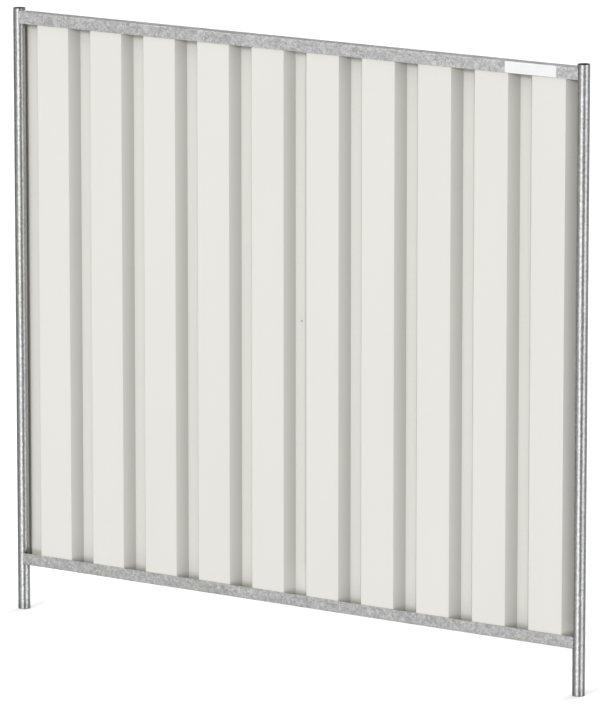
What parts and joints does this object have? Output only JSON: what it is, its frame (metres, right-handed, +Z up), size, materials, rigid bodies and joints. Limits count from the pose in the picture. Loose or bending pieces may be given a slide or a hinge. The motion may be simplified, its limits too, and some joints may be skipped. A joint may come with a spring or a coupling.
{
  "type": "temporary fence panel",
  "caption": "Closed temporary fence panel: round galvanised uprights with free legs, channel rails and off-white trapezoidal steel sheet between them.",
  "frame": {"origin": "on the ground, midway between the two tubes", "axes": "+X along the panel to the right as seen from the front, +Y to the back, +Z up"},
  "size_m": [2.16, 0.0424, 2],
  "materials": {
    "tube_steel": "galvanised, semi-bright",
    "rail_steel": "galvanised with spangle",
    "sheet_paint": "satin off-white coil coating",
    "plate": "plain white, satin",
    "rivet_metal": "bright",
    "pin_steel": "zinc plated",
    "weld_metal": "weld bead with zinc paint"
  },
  "bodies": {
    "root": {"left_upright": "tube_steel", "right_upright": "tube_steel", "top_rail": "rail_steel", "bottom_rail": "rail_steel", "left_sheet": "sheet_paint", "right_sheet": "sheet_paint", "name_plate": "plate", "lap_rivet": "rivet_metal", "top_rail_rivets": "rivet_metal", "bottom_rail_rivets": "rivet_metal", "rivet_pins": "pin_steel", "top_left_weld": "weld_metal", "top_right_weld": "weld_metal", "bottom_left_weld": "weld_metal", "bottom_right_weld": "weld_metal"}
  },
  "joints": []
}
